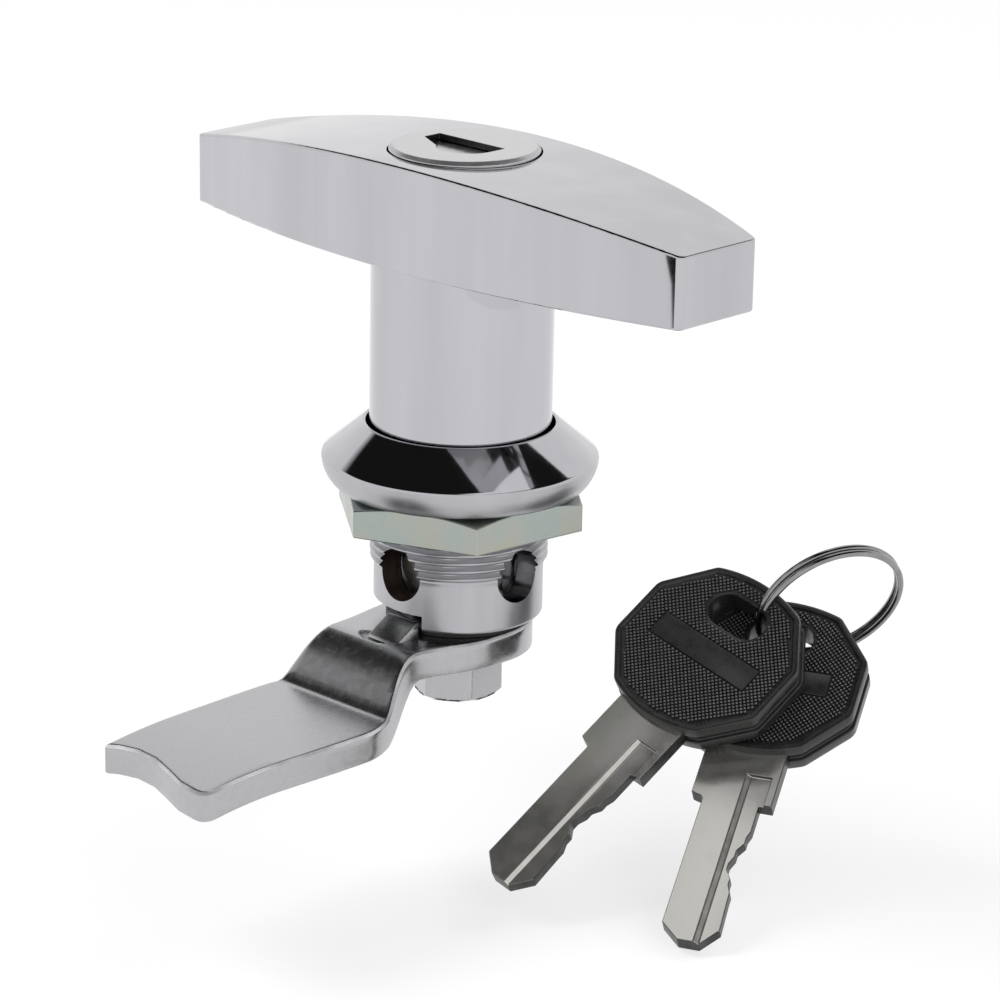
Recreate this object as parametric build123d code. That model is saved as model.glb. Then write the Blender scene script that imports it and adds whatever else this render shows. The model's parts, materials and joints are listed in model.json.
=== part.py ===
from build123d import *
import math
import os

# A T-handle lock for a cabinet or container door, with its two keys. Sizes are in millimetres.
# The origin is on the lock's axis, in the plane where the collar seats on the door.
# +Z points out of the door, +X runs along the handle's bar, and the cam points to -Y.
# The lock is drawn unlocked and closed, with the wafers drawn in as a key holds them.

# Handle bar, a boat-shaped casting with a crowned top
bar_length = 81.3
bar_end_width = 12.9
bar_middle_width = 24.4
bar_underside = 28.75
bar_middle_top = 41.6
bar_end_top = 37.2
bar_corner_radius = 1.0
bar_edge_radius = 0.35

# Neck and shank under the bar
neck_radius = 11.18
neck_foot = 3.05
shank_radius = 7.6
square_side = 9.0
square_length = 3.6

# Housing: collar, threaded stem and skirt
collar_radius = 17.0
collar_rim_height = 3.8
collar_height = 7.9
collar_lip = 0.4
collar_seat_radius = 15.2
mouth_gap = 0.42
mouth_floor = 3.0
thread_radius = 11.0
thread_length = 10.0
skirt_radius = 10.45
skirt_bottom = -16.35
skirt_chamfer = 0.4
notch_depth = 2.0
notch_start_angle = 160.0
notch_end_angle = 290.0
cross_hole_radius = 3.3
cross_hole_height = -9.75
cross_hole_count = 4

# Hex nut
nut_across_flats = 28.0
nut_height = 4.2
nut_corner_angle = -37.6
nut_chamfer = 0.9

# Clearances
running_gap = 0.05
seat_gap = 0.05
loose_gap = 0.1

# Key plug, its steel cap and the dust shutter under the cap
cap_top = 42.17
cap_thickness = 0.8
cap_radius = 9.15
cap_face_radius = 8.7
cap_skirt_length = 2.9
cap_wall = 0.45
cap_recess_radius = 9.37
plug_radius = 6.9
plug_bottom = 14.4
tongue_thickness = 3.0
tongue_width = 10.0
tongue_length = 3.2
slot_centre_x = -0.85
slot_centre_y = 0.75
slot_length = 10.9
slot_width = 2.5
lobe_reach = 5.2
lobe_half_width = 3.3
lobe_centre_x = 1.2
chamber_floor = 35.4
chamber_width = 5.9
shutter_thickness = 0.4
shutter_reach = 4.9
shutter_barrel_radius = 0.5
shutter_pivot_y = 2.75

# Wafers, and the key cuts that draw them in
wafer_count = 5
wafer_first_height = 31.2
wafer_pitch = 2.0
wafer_thickness = 1.0
wafer_travel = 0.9
wafer_low_y = -1.85
wafer_high_y = 3.75
wafer_window_gap = 0.1
spring_notch_depth = 0.9
spring_notch_left = -2.9
spring_notch_right = 1.9
spring_rib_left = -1.9
spring_rib_width = 0.7
spring_radius = 0.36
retainer_drop = 3.6
retainer_reach = 0.8
cut_depths = (0.3, 1.0, 1.45, 0.7, 0.2)

# Driver under the plug, and the locking pin that it throws
driver_head_radius = 6.5
driver_shaft_radius = 3.5
peg_radius = 1.2
peg_offset = 1.8
peg_length = 2.5
pin_radius = 3.0
pin_inner_end = 3.6
pin_tip = 7.0
pin_dish = 0.4
pin_groove_depth = 0.25
pin_groove_width = 0.5

# O-ring in the shank
o_ring_height = 1.1
o_ring_section = 1.4

# Slide washer, which fills the space between skirt and cam
slide_washer_radius = 8.9

# Cam, a cranked steel arm
cam_thickness = 3.65
cam_top = -17.3
cam_drop = 6.05
cam_ramp_start = 15.6
cam_ramp_end = 20.6
cam_tip = 49.2
cam_tip_droop = 0.8
cam_droop_start = 38.0
cam_root_radius = 9.3
cam_waist_right = (6.7, 14.0)
cam_waist_left = (8.3, 13.0)
cam_flare_right = (10.6, 25.5)
cam_flare_left = (10.3, 23.5)
cam_tip_half_width = 9.8
cam_tip_wave = 1.3
cam_bend_outer = 4.5
cam_bend_inner = 1.4
cam_corner_radius = 1.6
lug_inner = 9.2
lug_outer = 12.8
lug_half_width = 2.6
lug_height = 1.8
dimple_distance = 13.1
dimple_offset = -0.9
dimple_length = 5.8
dimple_width = 2.4
dimple_depth = 0.5

# Cam bolt and its spring washer
bolt_radius = 3.0
bolt_head_across_flats = 10.0
bolt_head_height = 4.5
bolt_depth = 7.7
bolt_turn = 33.0
spring_washer_thickness = 1.6
spring_washer_inner = 3.05
spring_washer_outer = 5.3
spring_washer_cut = 0.8

# Keys: a moulded head on a nickel-plated blade
head_half_width = 11.7
head_side_high = 4.0
head_side_low = -4.2
head_corner_x = 6.8
head_corner_high = 10.0
head_corner_low = -9.8
head_crown = 11.3
head_corner_radius = 1.2
head_thickness = 4.5
head_rim = 1.1
head_panel_depth = 0.3
head_groove_depth = 0.5
head_groove_width = 1.3
pad_half_length = 7.7
pad_low = -2.0
pad_high = 1.2
hole_length = 8.2
hole_height = 4.7
hole_centre_y = 5.85
blade_thickness = 2.0
blade_half_width = 3.5
shoulder_half_width = 5.1
shoulder_y = -18.3
blade_tip_y = -38.6
blade_tang = 5.5
blade_tip_chamfer = 2.0
first_cut = 5.0
cut_flat = 0.9
ledge_start_y = -14.2
ledge_left = 0.9
ledge_slope = 0.6
ledge_right = 4.1
ledge_depth = 0.5

# Where the keys stand: the first head's centre, how its face is turned, and the second key from it
keys_place = (25.9, 17.2, -19.2)
keys_turn = (36.9, 12.5, -7.7)
second_key_shift = (5.4, 3.94)
second_key_turn = (-5.37, 1.29, 26.76)
key_spacing = 1.6

# Split ring through both heads
split_ring_radius = 9.3
split_ring_wire = 0.42
split_ring_pitch = 0.92
split_ring_turns = 1.9
split_ring_place = (33.18, 31.71, -14.9)
split_ring_turn = (141.1, 54.3, 163.5)

# Worked out from the sizes above
mouth_radius = neck_radius + mouth_gap
stem_bore_radius = shank_radius + running_gap
nut_bore_radius = thread_radius + 0.03
plug_bore_radius = plug_radius + running_gap
recess_floor = cap_top - cap_thickness - cap_skirt_length + 0.35
retainer_height = wafer_first_height - (wafer_count - 1) * wafer_pitch - retainer_drop
driver_head_top = plug_bottom - seat_gap
driver_head_bottom = plug_bottom - tongue_length - 1.0
driver_seat = driver_head_bottom - seat_gap
driver_bottom = cross_hole_height + pin_radius + 0.2
peg_bottom = driver_bottom - peg_length
shank_bottom = cam_top
cam_bottom = cam_top - cam_thickness
square_bottom = cam_top - square_length
washer_bottom = cam_bottom - spring_washer_thickness
bolt_bottom = washer_bottom - bolt_head_height
blade_front = -(head_thickness - blade_thickness) / 2
keyway_length = 2 * blade_half_width + 0.2
keyway_width = blade_thickness + 0.2
retainer_groove_radius = plug_radius + retainer_reach + 2 * loose_gap


def rod(radius, low, high):
    """A round bar along Z between two heights."""
    return Pos(0, 0, low) * Cylinder(radius, high - low, align=(Align.CENTER, Align.CENTER, Align.MIN))


def tube(outer, inner, low, high):
    """A round tube along Z between two heights."""
    return rod(outer, low, high) - rod(inner, low - 1, high + 1)


def block(x, y, z):
    """A box given by its two limits along each axis."""
    size = [high - low for low, high in (x, y, z)]
    middle = [(low + high) / 2 for low, high in (x, y, z)]
    return Pos(*middle) * Box(*size)


def turned(points):
    """A solid of revolution about Z from (radius, height) points."""
    return revolve(Face(Wire.make_polygon([(r, 0, z) for r, z in points])), Axis.Z)


def prism(points, low, high):
    """An upright prism on (x, y) points between two heights."""
    base = Face(Wire.make_polygon([(x, y, low) for x, y in points]))
    return extrude(base, amount=high - low, dir=(0, 0, 1))


def upright(edges, low, high):
    """An upright prism on a closed outline of edges drawn at height zero."""
    return Pos(0, 0, low) * extrude(Face(Wire(edges)), amount=high - low, dir=(0, 0, 1))


def collar():
    """The cone-topped collar with its curved rim and the mouth for the neck."""
    lip = mouth_radius + collar_lip
    outline = [
        Line((0, 0, 0), (collar_seat_radius, 0, 0)),
        TangentArc((collar_radius, 0, collar_rim_height), (collar_seat_radius, 0, 0), tangent=(0, 0, -1)),
        Line((collar_radius, 0, collar_rim_height), (lip, 0, collar_height)),
        Line((lip, 0, collar_height), (0, 0, collar_height)),
        Line((0, 0, collar_height), (0, 0, 0)),
    ]
    return revolve(Face(Wire([edge.edge() for edge in outline])), Axis.Z)


def stop_notch():
    """The bite out of the skirt's edge that lets the cam's lug turn a quarter."""
    sector = [(0, 0)]
    steps = 5
    for step in range(steps + 1):
        angle = notch_start_angle + (notch_end_angle - notch_start_angle) * step / steps
        sector.append((1.6 * skirt_radius * math.cos(math.radians(angle)),
                       1.6 * skirt_radius * math.sin(math.radians(angle))))
    return prism(sector, skirt_bottom - 1, skirt_bottom + notch_depth)


def housing():
    """Collar, threaded stem and notched skirt in one casting."""
    stem = turned([
        (0, 1),
        (thread_radius, 1),
        (thread_radius, -thread_length),
        (skirt_radius, -thread_length - 0.4),
        (skirt_radius, skirt_bottom + skirt_chamfer),
        (skirt_radius - skirt_chamfer, skirt_bottom),
        (0, skirt_bottom),
    ])
    body = collar() + stem
    body -= rod(mouth_radius, mouth_floor, collar_height + 1)
    body -= rod(stem_bore_radius, skirt_bottom - 1, mouth_floor + 1)
    hole = Pos(0, 0, cross_hole_height) * Rot(0, 90, 0) * rod(cross_hole_radius, 0, 1.5 * thread_radius)
    for index in range(cross_hole_count):
        body -= Rot(0, 0, index * 360 / cross_hole_count) * hole
    return body - stop_notch()


def hex_nut():
    """The panel nut, chamfered on the face towards the collar."""
    corner = nut_across_flats / math.sqrt(3)
    flat = nut_across_flats / 2
    top = -seat_gap
    bottom = top - nut_height
    sides = [(corner * math.cos(math.radians(nut_corner_angle + 60 * k)),
              corner * math.sin(math.radians(nut_corner_angle + 60 * k))) for k in range(6)]
    envelope = turned([
        (0, top),
        (flat, top),
        (corner + 0.1, top - nut_chamfer),
        (corner + 0.1, bottom),
        (0, bottom),
    ])
    return (prism(sides, bottom, top) & envelope) - rod(nut_bore_radius, bottom - 1, top + 1)


def bar():
    """The boat-shaped bar: bowed sides, crowned top, flat underside."""
    half = bar_length / 2
    end = bar_end_width / 2
    middle = bar_middle_width / 2
    plan = [
        ThreePointArc((-half, end), (0, middle), (half, end)),
        Line((half, end), (half, -end)),
        ThreePointArc((half, -end), (0, -middle), (-half, -end)),
        Line((-half, -end), (-half, end)),
    ]
    height = bar_middle_top - bar_underside
    body = upright([edge.edge() for edge in plan], bar_underside, bar_underside + height)
    body = fillet(body.edges().filter_by(Axis.Z), bar_corner_radius)
    side = [
        Line((-half - 1, 0, bar_underside - 1), (half + 1, 0, bar_underside - 1)),
        Line((half + 1, 0, bar_underside - 1), (half + 1, 0, bar_end_top)),
        ThreePointArc((half + 1, 0, bar_end_top), (0, 0, bar_middle_top), (-half - 1, 0, bar_end_top)),
        Line((-half - 1, 0, bar_end_top), (-half - 1, 0, bar_underside - 1)),
    ]
    profile = Face(Wire([edge.edge() for edge in side]))
    crown = extrude(profile, amount=bar_middle_width, dir=(0, 1, 0), both=True)
    body = body & crown
    rims = body.edges().filter_by(lambda edge: abs(edge.tangent_at(0.5).Z) < 0.5)
    return fillet(rims, bar_edge_radius)


def wafer_grooves():
    """Two grooves for the sprung wafers, a quarter turn apart, and the retainer's ring groove."""
    groove = block(
        (0, plug_radius + wafer_travel + 2 * loose_gap),
        (wafer_low_y - loose_gap, wafer_high_y + loose_gap),
        (wafer_first_height - (wafer_count - 0.5) * wafer_pitch, wafer_first_height + wafer_pitch / 2),
    )
    half = wafer_thickness / 2 + loose_gap
    ring = rod(retainer_groove_radius, retainer_height - half, retainer_height + half)
    return groove + Rot(0, 0, -90) * groove + ring


def t_handle():
    """Bar, neck, shank and square in one casting, bored for the lock inside it."""
    body = bar()
    body += rod(neck_radius, neck_foot, bar_underside + 1)
    body += rod(shank_radius, shank_bottom, neck_foot + 1)
    square = block((-square_side / 2, square_side / 2), (-square_side / 2, square_side / 2),
                   (square_bottom, shank_bottom + 1))
    body += square
    body -= rod(cap_recess_radius, recess_floor, bar_middle_top + 1)
    body -= rod(plug_bore_radius, driver_seat, bar_middle_top + 1)
    body -= wafer_grooves()
    body -= rod(driver_shaft_radius + running_gap, peg_bottom - loose_gap, driver_seat + 1)
    body -= pin_bore()
    body -= rod(bolt_radius, square_bottom - 1, square_bottom + bolt_depth)
    groove = o_ring_section / 2 + loose_gap
    seat = rod(shank_radius - o_ring_section, o_ring_height - groove - 1, o_ring_height + groove + 1)
    body -= rod(shank_radius + 1, o_ring_height - groove, o_ring_height + groove) - seat
    return body


def across(radius, low_y, high_y, height):
    """A round bar along Y at a height."""
    return Pos(0, high_y, height) * Rot(90, 0, 0) * rod(radius, 0, high_y - low_y)


def pin_bore():
    """The cross bore that the locking pin slides in."""
    return across(pin_radius + running_gap, -shank_radius - 1, pin_inner_end + loose_gap, cross_hole_height)


def locking_pin():
    """The pin that enters the housing's cross hole, slotted on top for the driver's peg."""
    body = across(pin_radius, -pin_tip, pin_inner_end, cross_hole_height)
    body = chamfer(body.edges().group_by(Axis.Y)[0], pin_dish)
    for index in range(2):
        middle = -pin_tip + 1.1 + 2 * pin_groove_width * index
        outer = across(pin_radius + 1, middle - pin_groove_width / 2, middle + pin_groove_width / 2,
                       cross_hole_height)
        inner = across(pin_radius - pin_groove_depth, middle - 1, middle + 1, cross_hole_height)
        body -= outer - inner
    peg_y = peg_offset / math.sqrt(2)
    reach = peg_radius + loose_gap
    return body - block((-loose_gap - reach + peg_radius, pin_radius + 1), (peg_y - reach, peg_y + reach),
                        (peg_bottom - loose_gap, cross_hole_height + pin_radius + 1))


def keyhole(low, high):
    """The stamped opening in the cap: a slot with a rounded lobe on one side."""
    left = slot_centre_x - slot_length / 2
    right = slot_centre_x + slot_length / 2
    top = slot_centre_y + slot_width / 2
    bottom = slot_centre_y - slot_width / 2
    lobe = [
        Line((left, bottom), (left, top)),
        Line((left, top), (right, top)),
        Line((right, top), (right, bottom)),
        ThreePointArc((right, bottom), (lobe_centre_x + 1.2, slot_centre_y - lobe_reach + 0.6),
                      (lobe_centre_x - lobe_half_width, bottom - 2.2)),
        Line((lobe_centre_x - lobe_half_width, bottom - 2.2), (left, bottom)),
    ]
    return upright([edge.edge() for edge in lobe], low, high)


def plug_cap():
    """The steel cap pressed over the plug's head, with the keyhole stamped in its face."""
    skirt_low = cap_top - cap_thickness - cap_skirt_length + 0.4
    body = turned([
        (0, cap_top),
        (cap_face_radius, cap_top),
        (cap_radius, cap_top - (cap_radius - cap_face_radius)),
        (cap_radius, skirt_low),
        (0, skirt_low),
    ])
    body -= rod(cap_radius - cap_wall, skirt_low - 1, cap_top - cap_thickness)
    return body - keyhole(cap_top - cap_thickness - 1, cap_top + 1)


def wafer_outline(low, high, grow):
    """The wafer's plate, grown by a clearance for the slot that holds it."""
    return block((-2 * plug_radius, 2 * plug_radius), (wafer_low_y - grow, wafer_high_y + grow), (low, high))


def spring_rib(height):
    """The rib of plug metal that a wafer's spring leans on."""
    half = wafer_thickness / 2 + running_gap
    return block((spring_rib_left, spring_rib_left + spring_rib_width),
                 (wafer_high_y - spring_notch_depth + running_gap, wafer_high_y + 2 * running_gap),
                 (height - half, height + half))


def wafer_heights():
    """The height of each wafer's middle, from the keyhole inward."""
    return [wafer_first_height - index * wafer_pitch for index in range(wafer_count)]


def plug():
    """The key plug with its slots, keyway, shutter chamber and tongue."""
    head_top = cap_top - cap_thickness - running_gap
    body = rod(cap_radius - cap_wall - running_gap, recess_floor + seat_gap, head_top)
    body += rod(plug_radius, plug_bottom, head_top)
    body += block((-tongue_width / 2, tongue_width / 2), (-tongue_thickness / 2, tongue_thickness / 2),
                  (plug_bottom - tongue_length, plug_bottom + 1))
    left = slot_centre_x - slot_length / 2
    right = slot_centre_x + slot_length / 2
    body -= block((left, right), (shutter_pivot_y + 0.65 - chamber_width, shutter_pivot_y + 0.65),
                  (chamber_floor, head_top + 1))
    body -= Pos(left - 0.7, shutter_pivot_y, shutter_axis_height()) * Rot(0, 90, 0) * rod(
        shutter_barrel_radius + running_gap, 0, slot_length + 1.4)
    body -= block((slot_centre_x - keyway_length / 2, slot_centre_x + keyway_length / 2),
                  (slot_centre_y - keyway_width / 2, slot_centre_y + keyway_width / 2),
                  (plug_bottom + 1.2, chamber_floor + 1))
    for height in wafer_heights() + [retainer_height]:
        half = wafer_thickness / 2 + running_gap
        body -= wafer_outline(height - half, height + half, running_gap) - spring_rib(height)
    return body


def shutter_axis_height():
    """The height of the shutter's pivot under the cap."""
    return cap_top - cap_thickness - 2 * running_gap - shutter_barrel_radius - 0.15


def dust_shutter():
    """The flap under the keyhole, with its barrel pivoted in the plug's head."""
    left = slot_centre_x - slot_length / 2
    right = slot_centre_x + slot_length / 2
    top = cap_top - cap_thickness - running_gap
    axis_height = shutter_axis_height()
    flap = block((left + 0.2, right - 0.2), (shutter_pivot_y - shutter_reach, shutter_pivot_y),
                 (top - shutter_thickness, top))
    barrel = Pos(left - 0.6, shutter_pivot_y, axis_height) * Rot(0, 90, 0) * rod(
        shutter_barrel_radius, 0, slot_length + 1.2)
    return flap + barrel


def wafer(height, cut_depth, shift):
    """One sprung plate with its key window, moved sideways by a shift."""
    half = wafer_thickness / 2
    body = wafer_outline(height - half, height + half, 0) & rod(plug_radius, height - 1, height + 1)
    left = slot_centre_x - blade_half_width - wafer_window_gap
    right = slot_centre_x + blade_half_width + 2 * wafer_window_gap
    window = block((left + cut_depth, right),
                   (slot_centre_y - keyway_width / 2, slot_centre_y + keyway_width / 2),
                   (height - 1, height + 1))
    notch = block((spring_notch_left, spring_notch_right),
                  (wafer_high_y - spring_notch_depth, wafer_high_y + 1),
                  (height - 1, height + 1))
    return Pos(shift, 0, 0) * (body - window - notch)


def wafer_springs():
    """The coil spring of each wafer, closed up as it is when the wafer is drawn in."""
    left = spring_rib_left + spring_rib_width + running_gap
    y = wafer_high_y - spring_notch_depth / 2 + running_gap
    springs = []
    for height in wafer_heights() + [retainer_height]:
        length = spring_notch_right - left - running_gap
        springs.append(Pos(left, y, height) * Rot(0, 90, 0) * rod(spring_radius, 0, length))
    return springs


def driver():
    """The turning shaft that takes the plug's tongue on top and carries the peg below."""
    head = rod(driver_head_radius, driver_head_bottom, driver_head_top)
    slot = block((-tongue_width, tongue_width),
                 (-tongue_thickness / 2 - running_gap, tongue_thickness / 2 + running_gap),
                 (plug_bottom - tongue_length - seat_gap, driver_head_top + 1))
    peg_at = peg_offset / math.sqrt(2)
    peg = Pos(peg_at, peg_at, 0) * rod(peg_radius, peg_bottom, driver_bottom + 1)
    return (head - slot) + rod(driver_shaft_radius, driver_bottom, driver_head_bottom + 1) + peg


def o_ring():
    """The rubber seal in the shank's groove."""
    middle = shank_radius + running_gap - 0.02 - o_ring_section / 2
    return Pos(0, 0, o_ring_height) * Torus(middle, o_ring_section / 2)


def slide_washer():
    """The black plastic washer between the skirt and the cam."""
    return tube(slide_washer_radius, shank_radius + running_gap, cam_top, skirt_bottom - seat_gap)


def cam_side():
    """The cam's cranked side view, extruded across its width."""
    rise = cam_drop / (cam_ramp_end - cam_ramp_start)
    lean = cam_thickness * math.tan(math.atan(rise) / 2)
    low_top = cam_top - cam_drop
    low_bottom = low_top - cam_thickness
    far = cam_tip + 4
    droop_radius = (cam_tip - cam_droop_start) ** 2 / (2 * cam_tip_droop)
    run = far - cam_droop_start
    fall = run ** 2 / (2 * droop_radius)
    back = -2 * cam_root_radius
    start = cam_droop_start
    edges = [
        Line((start, low_top), (cam_ramp_end, low_top)),
        Line((cam_ramp_end, low_top), (cam_ramp_start, cam_top)),
        Line((cam_ramp_start, cam_top), (back, cam_top)),
        Line((back, cam_top), (back, cam_bottom)),
        Line((back, cam_bottom), (cam_ramp_start - lean, cam_bottom)),
        Line((cam_ramp_start - lean, cam_bottom), (cam_ramp_end - lean, low_bottom)),
        Line((cam_ramp_end - lean, low_bottom), (start, low_bottom)),
        ThreePointArc((start, low_bottom), (start + run / 2, low_bottom - fall / 4),
                      (far, low_bottom - fall)),
        Line((far, low_bottom - fall), (far, low_top - fall)),
        ThreePointArc((far, low_top - fall), (start + run / 2, low_top - fall / 4), (start, low_top)),
    ]
    profile = Face(Wire([edge.edge() for edge in edges]))
    corners = {
        (cam_ramp_end, low_top): cam_bend_inner,
        (cam_ramp_start, cam_top): cam_bend_outer,
        (cam_ramp_start - lean, cam_bottom): cam_bend_inner,
        (cam_ramp_end - lean, low_bottom): cam_bend_outer,
    }
    for (x, y), radius in corners.items():
        vertex = profile.vertices().sort_by_distance((x, y, 0))[0]
        profile = profile.fillet_2d(radius, [vertex])
    side = extrude(profile, amount=2 * cam_root_radius, dir=(0, 0, 1), both=True)
    return Rot(0, 0, -90) * Rot(90, 0, 0) * side


def cam_edge(side, waist, flare):
    """One long edge of the cam: in at the waist, out at the blade, and a little in towards the tip."""
    root = (side * cam_root_radius, -cam_root_radius / 3)
    narrow = (side * waist[0], -waist[1])
    wide = (side * flare[0], -flare[1])
    end_y = -cam_tip
    if side > 0:
        end_y -= cam_tip_wave - cam_corner_radius
    down = (0, -1)
    return [
        Line((side * cam_root_radius, 0), root),
        Spline(root, narrow, tangents=[down, down]),
        Spline(narrow, wide, tangents=[down, down]),
        Spline(wide, (side * cam_tip_half_width, end_y), tangents=[down, down]),
    ]


def cam_plan():
    """The cam's outline from above: round root, waist, flared blade, waved tip with one rounded corner."""
    root = cam_root_radius
    tip = cam_tip_half_width
    corner = -cam_tip - cam_tip_wave + cam_corner_radius
    edges = [ThreePointArc((-root, 0), (0, root), (root, 0))]
    edges += cam_edge(1, cam_waist_right, cam_flare_right)
    edges += cam_edge(-1, cam_waist_left, cam_flare_left)
    edges += [
        ThreePointArc((tip, corner), (tip - 0.3 * cam_corner_radius, corner - 0.7 * cam_corner_radius),
                      (tip - cam_corner_radius, corner - cam_corner_radius)),
        Spline((tip - cam_corner_radius, corner - cam_corner_radius), (-0.5 * tip, -cam_tip + cam_tip_wave),
               (-tip, -cam_tip), tangents=[(-1, 0), (-0.5, -1)]),
    ]
    low = cam_top - cam_drop - cam_thickness - 2 * cam_tip_droop - 2
    return upright([edge.edge() for edge in edges], low, cam_top + 1)


def cam_lug():
    """The pressed-up stop on the cam, highest at the skirt."""
    wedge = [
        (-lug_inner, cam_top - 0.5),
        (-lug_outer - 0.6, cam_top - 0.5),
        (-lug_outer, cam_top),
        (-lug_inner - 0.6, cam_top + lug_height),
        (-lug_inner, cam_top + lug_height),
    ]
    base = Face(Wire.make_polygon([(0, y, z) for y, z in wedge]))
    return extrude(base, amount=lug_half_width, dir=(1, 0, 0), both=True)


def cam():
    """The cranked arm with its square hole, stop lug and pressed dimple."""
    body = cam_side() & cam_plan()
    body += cam_lug()
    half = square_side / 2 + running_gap
    body -= block((-half, half), (-half, half), (cam_bottom - 1, cam_top + 1))
    dimple = Pos(dimple_offset, -dimple_distance, cam_top) * scale(
        Sphere(1), (dimple_length / 2, dimple_width / 2, dimple_depth))
    return body - dimple


def hexagon(across_flats, turn, low, high):
    """A hexagonal bar along Z."""
    corner = across_flats / math.sqrt(3)
    sides = [(corner * math.cos(math.radians(turn + 60 * k)), corner * math.sin(math.radians(turn + 60 * k)))
             for k in range(6)]
    return prism(sides, low, high)


def cam_bolt():
    """The hex bolt that clamps the cam to the handle's square."""
    corner = bolt_head_across_flats / math.sqrt(3)
    head = hexagon(bolt_head_across_flats, bolt_turn, bolt_bottom, washer_bottom)
    envelope = turned([
        (0, washer_bottom),
        (corner + 0.1, washer_bottom),
        (corner + 0.1, bolt_bottom + 0.5),
        (bolt_head_across_flats / 2, bolt_bottom),
        (0, bolt_bottom),
    ])
    shank = rod(bolt_radius - 0.02, washer_bottom - 1, square_bottom + bolt_depth - loose_gap)
    return (head & envelope) + shank


def spring_washer():
    """The split spring washer under the bolt's head."""
    ring = tube(spring_washer_outer, spring_washer_inner, washer_bottom, cam_bottom)
    return ring - block((0, 2 * spring_washer_outer), (-spring_washer_cut / 2, spring_washer_cut / 2),
                        (washer_bottom - 1, cam_bottom + 1))


def head_outline(inset):
    """The key head's outline: eight sides with a crowned top and foot, drawn in by an inset."""
    x = head_half_width
    cx = head_corner_x
    edges = [
        ThreePointArc((-cx, head_corner_high), (0, head_crown), (cx, head_corner_high)),
        Line((cx, head_corner_high), (x, head_side_high)),
        Line((x, head_side_high), (x, head_side_low)),
        Line((x, head_side_low), (cx, head_corner_low)),
        ThreePointArc((cx, head_corner_low), (0, -head_crown), (-cx, head_corner_low)),
        Line((-cx, head_corner_low), (-x, head_side_low)),
        Line((-x, head_side_low), (-x, head_side_high)),
        Line((-x, head_side_high), (-cx, head_corner_high)),
    ]
    face = Face(Wire([edge.edge() for edge in edges]))
    face = face.fillet_2d(head_corner_radius, face.vertices())
    if inset == 0:
        return face
    return offset(face, amount=-inset).face()


def slab(face, low, high):
    """A flat face extruded between two heights."""
    return Pos(0, 0, low) * extrude(face, amount=high - low, dir=(0, 0, 1))


def key_blade():
    """The key's blade with its tang, shoulders, cuts and milled ledge, its head's face at height zero."""
    b = blade_half_width
    s = shoulder_half_width
    c = blade_tip_chamfer
    tang_top = head_corner_low + blade_tang
    points = [(-b, tang_top), (-b, -head_crown + 1.5), (-s, -head_crown + 1.5), (-s, shoulder_y + 0.4),
              (-b - 0.3, shoulder_y), (-b, shoulder_y - 0.4), (-b, blade_tip_y + c),
              (-b + 1.2 * c, blade_tip_y), (b - c, blade_tip_y), (b, blade_tip_y + 1.2 * c)]
    flat = cut_flat / 2
    for index in reversed(range(wafer_count)):
        y = shoulder_y - first_cut - index * wafer_pitch
        x = b - cut_depths[index]
        points.append((x, y - flat))
        points.append((x, y + flat))
    points += [(b, shoulder_y - first_cut + 1.4), (b, shoulder_y), (s, shoulder_y),
               (s, -head_crown + 1.5), (b, -head_crown + 1.5), (b, tang_top)]
    body = prism(points, blade_front - blade_thickness, blade_front)
    ledge = [(ledge_left, 0), (ledge_left + ledge_slope, -ledge_depth), (ledge_right, -ledge_depth),
             (ledge_right, 0)]
    lifted = [(x, ledge_start_y, blade_front + z) for x, z in ledge]
    base = Face(Wire.make_polygon(lifted))
    return body - extrude(base, amount=blade_tip_y - ledge_start_y - 1, dir=(0, 1, 0))


def key_head():
    """The moulded head, with a raised rim and a bare pad on both faces, a side groove and the ring's hole."""
    body = slab(head_outline(0), -head_thickness, 0)
    middle = -head_thickness / 2
    half = head_groove_width / 2
    body -= slab(head_outline(0), middle - half, middle + half) - slab(
        head_outline(head_groove_depth), middle - half, middle + half)
    pad = block((-pad_half_length, pad_half_length), (pad_low, pad_high), (-head_thickness, 0))
    for low, high in ((-head_panel_depth, 0), (-head_thickness, -head_thickness + head_panel_depth)):
        body -= slab(head_outline(head_rim), low, high) - pad
    body -= Pos(0, hole_centre_y, -head_thickness - 1) * extrude(
        SlotOverall(hole_length, hole_height), amount=head_thickness + 2)
    pocket = block((-blade_half_width, blade_half_width), (-head_crown - 1, head_corner_low + blade_tang),
                   (blade_front - blade_thickness, blade_front))
    wide = block((-shoulder_half_width, shoulder_half_width), (-head_crown - 1, -head_crown + 1.5),
                 (blade_front - blade_thickness, blade_front))
    return body - pocket - wide


def key_plane(index):
    """Where a key stands: its head's centre and the way its face is turned."""
    first = Pos(*keys_place) * Rot(*keys_turn)
    if index == 0:
        return first
    below = -head_thickness - key_spacing
    return first * Pos(second_key_shift[0], second_key_shift[1], below) * Rot(*second_key_turn)


def ring_point(turns):
    """A point on the split ring's middle line, so many turns from its start."""
    angle = 2 * math.pi * turns
    rise = split_ring_pitch * (turns - split_ring_turns / 2)
    return (split_ring_radius * math.cos(angle), split_ring_radius * math.sin(angle), rise)


def key_ring():
    """The split ring, a wire wound nearly twice round in arcs of about a quarter turn."""
    arcs = math.ceil(4 * split_ring_turns)
    heading = Vector(0, split_ring_radius, split_ring_pitch / (2 * math.pi))
    path = []
    for index in range(arcs):
        start = ring_point(split_ring_turns * index / arcs)
        end = ring_point(split_ring_turns * (index + 1) / arcs)
        arc = TangentArc(start, end, tangent=heading).edge()
        heading = arc % 1
        path.append(arc)
    line = Wire(path)
    section = Plane(origin=line @ 0, z_dir=line % 0) * Circle(split_ring_wire)
    wire = sweep(section, path=line)
    return Pos(*split_ring_place) * Rot(*split_ring_turn) * wire


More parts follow.
